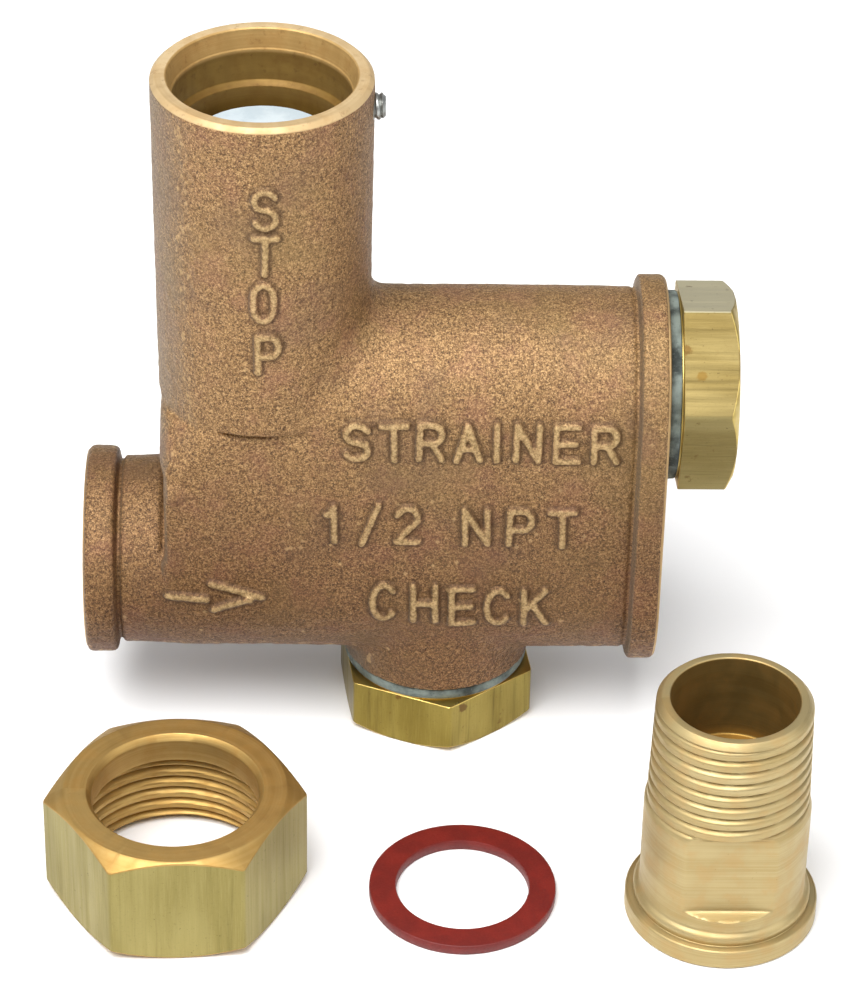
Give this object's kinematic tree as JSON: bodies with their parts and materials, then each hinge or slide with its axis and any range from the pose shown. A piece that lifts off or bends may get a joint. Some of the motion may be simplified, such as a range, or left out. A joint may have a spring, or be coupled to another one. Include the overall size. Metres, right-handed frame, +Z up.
{
  "type": "stop strainer check valve",
  "caption": "Cast bronze water valve joining a stop tower, a strainer chamber and a check valve, with hexagon caps and a loose union nut, washer and tailpiece.",
  "frame": {"origin": "centre of the check cap's flat bottom, on which the valve stands", "axes": "+X along the flow from inlet to outlet, +Z up along the stop tower, -Y towards the lettered side"},
  "size_m": [0.0999, 0.0721, 0.0973],
  "materials": {
    "cast_bronze": "sand cast, satin, unpainted",
    "cap_brass": "drawn hexagon bar, bright",
    "machined_brass": "turned, satin",
    "fibre": "compressed fibre, matt",
    "red_fibre": "vulcanised fibre, satin",
    "stainless": "bright wire and sheet",
    "zinc_steel": "zinc plated",
    "rubber": "moulded, matt",
    "acetal": "white acetal, satin"
  },
  "bodies": {
    "check_gasket": {"check_cap_gasket": "fibre"},
    "check_cap": {"check_cap": "cap_brass", "check_spring": "stainless"},
    "poppet": {"check_poppet": "machined_brass", "check_seal_disc": "rubber", "check_disc_screw": "machined_brass"},
    "valve_body": {"valve_body": "cast_bronze", "stop_bonnet": "machined_brass", "bonnet_o_ring": "rubber", "stem_o_ring": "rubber"},
    "strainer_basket": {"strainer_screen": "stainless", "screen_end_ring": "machined_brass"},
    "strainer_gasket": {"strainer_cap_gasket": "fibre"},
    "strainer_cap": {"strainer_cap": "cap_brass"},
    "stop_spindle": {"stop_stem": "machined_brass", "stop_drive_disc": "acetal", "stem_retaining_ring": "stainless"},
    "stop_plunger": {"stop_plunger": "machined_brass", "stop_seat_washer": "rubber", "stop_washer_screw": "machined_brass"},
    "set_screw": {"set_screw": "zinc_steel"},
    "union_nut": {"union_nut": "machined_brass"},
    "union_gasket": {"union_gasket": "red_fibre"},
    "union_tailpiece": {"union_tailpiece": "machined_brass"}
  },
  "joints": [
    {"name": "check_cap_turn", "type": "hinge", "parent": "check_gasket", "child": "check_cap", "pos_m": [0, 0, 0], "axis": [0, 0, -1], "range_deg": [0, 2155]},
    {"name": "body_lift", "type": "slide", "parent": "check_gasket", "child": "valve_body", "axis": [0, 0, 1], "range_m": [0, 0.009]},
    {"name": "check_poppet_travel", "type": "slide", "parent": "check_cap", "child": "poppet", "axis": [0, 0, -1], "range_m": [0, 0.005], "stiffness_N_per_m": 120, "springref_m": -0.004, "deforming": ["check_spring"]},
    {"name": "strainer_pull", "type": "slide", "parent": "valve_body", "child": "strainer_basket", "axis": [1, 0, 0], "range_m": [0, 0.0415]},
    {"name": "strainer_cap_advance", "type": "slide", "parent": "strainer_basket", "child": "strainer_gasket", "axis": [1, 0, 0], "range_m": [0, 0.009]},
    {"name": "strainer_cap_turn", "type": "hinge", "parent": "strainer_gasket", "child": "strainer_cap", "pos_m": [0, 0, 0.05125], "axis": [1, 0, 0], "range_deg": [0, 2155]},
    {"name": "stop_turn", "type": "hinge", "parent": "valve_body", "child": "stop_spindle", "pos_m": [-0.0233, 0, 0.08], "axis": [0, 0, -1], "range_deg": [0, 1080]},
    {"name": "stop_plunger_travel", "type": "slide", "parent": "valve_body", "child": "stop_plunger", "axis": [0, 0, -1], "range_m": [0, 0.00418]},
    {"name": "set_screw_advance", "type": "slide", "parent": "valve_body", "child": "set_screw", "axis": [1, 0, 0], "range_m": [-0.002, 0.0045]},
    {"name": "union_nut_lift", "type": "slide", "parent": "check_gasket", "child": "union_nut", "axis": [0, 0, 1], "range_m": [0, 0.1]},
    {"name": "union_gasket_lift", "type": "slide", "parent": "check_gasket", "child": "union_gasket", "axis": [0, 0, 1], "range_m": [0, 0.1]},
    {"name": "tailpiece_lift", "type": "slide", "parent": "check_gasket", "child": "union_tailpiece", "axis": [0, 0, 1], "range_m": [0, 0.1]}
  ],
  "couplings": [
    {"joint": "body_lift", "follows": "check_cap_turn", "m_per_rad": 0.00023873},
    {"joint": "strainer_cap_advance", "follows": "strainer_cap_turn", "m_per_rad": 0.00023873},
    {"joint": "stop_turn", "follows": "stop_plunger_travel", "rad_per_m": 4488}
  ]
}
